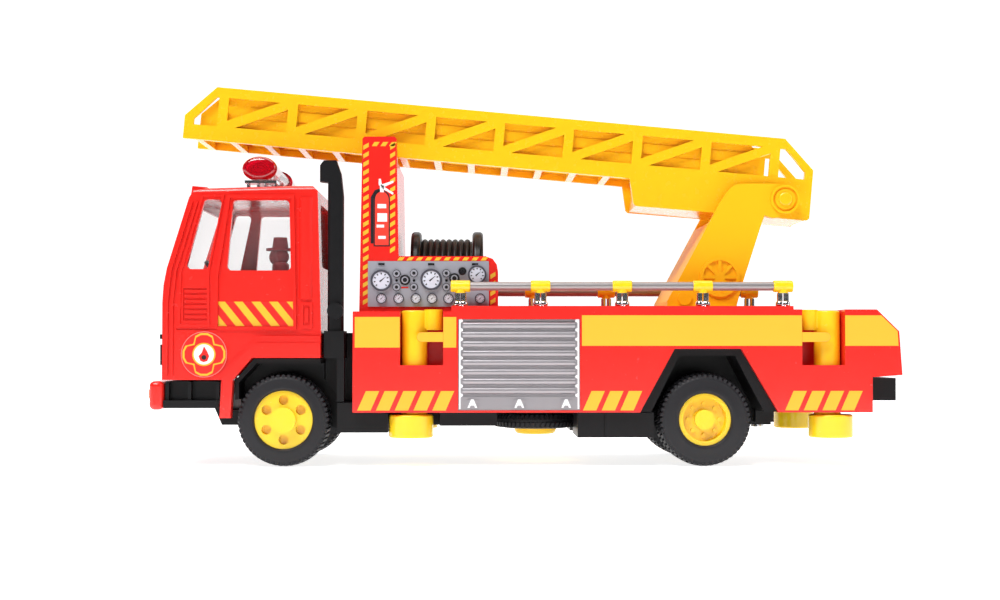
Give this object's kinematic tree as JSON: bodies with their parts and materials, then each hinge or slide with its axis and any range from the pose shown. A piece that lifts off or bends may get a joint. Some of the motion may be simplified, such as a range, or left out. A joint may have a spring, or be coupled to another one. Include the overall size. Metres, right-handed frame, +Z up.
{
  "type": "toy fire engine",
  "caption": "Toy fire engine with raised and extending ladder on a turntable, hose reel, stabiliser legs, roller shutters and rolling wheels.",
  "frame": {"origin": "centre of the bounding box on the ground plane under the tyres", "axes": "+X to the rear of the truck, -Y its left side, +Z up"},
  "size_m": [0.1766, 0.0546, 0.0911],
  "materials": {
    "red_plastic": "glossy moulded plastic",
    "ladder_yellow": "glossy moulded plastic",
    "hub_yellow": "glossy moulded plastic",
    "tyre_black": "soft matt plastic",
    "clear_plastic": "clear moulded plastic",
    "red_lens": "translucent red plastic",
    "amber_lens": "translucent amber plastic",
    "silver_plastic": "silver-printed plastic",
    "chrome_trim": "vacuum-plated plastic",
    "steel": "plain steel",
    "figure_plastic": "moulded plastic",
    "hose_brown": "matt moulded plastic",
    "black_plastic": "satin moulded plastic"
  },
  "bodies": {
    "truck": {"body_shell": "red_plastic", "bumper_lamp_left": "amber_lens", "bumper_lamp_right": "amber_lens", "cab_glazing": "clear_plastic", "cab_interior": "black_plastic", "cab_shell": "red_plastic", "chassis": "black_plastic", "chassis_screws": "steel", "driver_figure": "figure_plastic", "front_bumper": "red_plastic", "front_grille": "black_plastic", "gauge_panel": "silver_plastic", "handrail_connectors_left": "hub_yellow", "handrail_connectors_right": "hub_yellow", "handrail_posts_left": "chrome_trim", "handrail_posts_right": "chrome_trim", "handrail_tube_left": "chrome_trim", "handrail_tube_right": "chrome_trim", "headlamps": "clear_plastic", "intake_stack": "black_plastic", "light_bar_base": "chrome_trim", "light_bar_lens_left": "red_lens", "light_bar_lens_right": "red_lens", "light_bar_tube": "clear_plastic", "pump_tower": "red_plastic", "shutter_left": "silver_plastic", "shutter_right": "silver_plastic", "spare_hub": "hub_yellow", "spare_tyre": "tyre_black", "steering_wheel": "black_plastic", "tail_lamps": "red_lens"},
    "front_wheels": {"front_axle": "steel", "front_hub_left": "hub_yellow", "front_hub_right": "hub_yellow", "front_tyre_left": "tyre_black", "front_tyre_right": "tyre_black"},
    "rear_wheels": {"rear_axle": "steel", "rear_hub_left": "hub_yellow", "rear_hub_right": "hub_yellow", "rear_tyre_left": "tyre_black", "rear_tyre_left_inner": "tyre_black", "rear_tyre_right": "tyre_black", "rear_tyre_right_inner": "tyre_black"},
    "hose_reel": {"reel_drum": "black_plastic", "reel_hose": "hose_brown"},
    "turntable": {"turntable_base": "ladder_yellow", "turret_arm": "ladder_yellow", "pivot_pin": "ladder_yellow"},
    "ladder_main": {"outer_ladder": "ladder_yellow"},
    "ladder_extension": {"inner_ladder": "ladder_yellow"},
    "stabiliser_front_left": {"front_leg_left": "hub_yellow"},
    "stabiliser_front_right": {"front_leg_right": "hub_yellow"},
    "stabiliser_rear_left": {"rear_leg_left": "hub_yellow"},
    "stabiliser_rear_right": {"rear_leg_right": "hub_yellow"}
  },
  "joints": [
    {"name": "front_wheels_spin", "type": "hinge", "parent": "truck", "child": "front_wheels", "pos_m": [-0.0561, 0, 0.011], "axis": [0, 1, 0], "continuous": true},
    {"name": "rear_wheels_spin", "type": "hinge", "parent": "truck", "child": "rear_wheels", "pos_m": [0.0425, 0, 0.011], "axis": [0, 1, 0], "continuous": true},
    {"name": "hose_reel_spin", "type": "hinge", "parent": "truck", "child": "hose_reel", "pos_m": [-0.018, 0, 0.047], "axis": [1, 0, 0], "continuous": true},
    {"name": "turntable_turn", "type": "hinge", "parent": "truck", "child": "turntable", "pos_m": [0.043, 0, 0.0365], "axis": [0, 0, -1], "range_deg": [0, 180]},
    {"name": "ladder_lift", "type": "hinge", "parent": "turntable", "child": "ladder_main", "pos_m": [0.0635, 0, 0.0637], "axis": [0, 1, 0], "range_deg": [0, 60]},
    {"name": "ladder_extend", "type": "slide", "parent": "ladder_main", "child": "ladder_extension", "axis": [-0.996, 0, 0.0889], "range_m": [0, 0.09]},
    {"name": "stabiliser_front_left_lower", "type": "slide", "parent": "truck", "child": "stabiliser_front_left", "axis": [0, 0, -1], "range_m": [0, 0.0067]},
    {"name": "stabiliser_front_right_lower", "type": "slide", "parent": "truck", "child": "stabiliser_front_right", "axis": [0, 0, -1], "range_m": [0, 0.0067]},
    {"name": "stabiliser_rear_left_lower", "type": "slide", "parent": "truck", "child": "stabiliser_rear_left", "axis": [0, 0, -1], "range_m": [0, 0.0067]},
    {"name": "stabiliser_rear_right_lower", "type": "slide", "parent": "truck", "child": "stabiliser_rear_right", "axis": [0, 0, -1], "range_m": [0, 0.0067]}
  ]
}
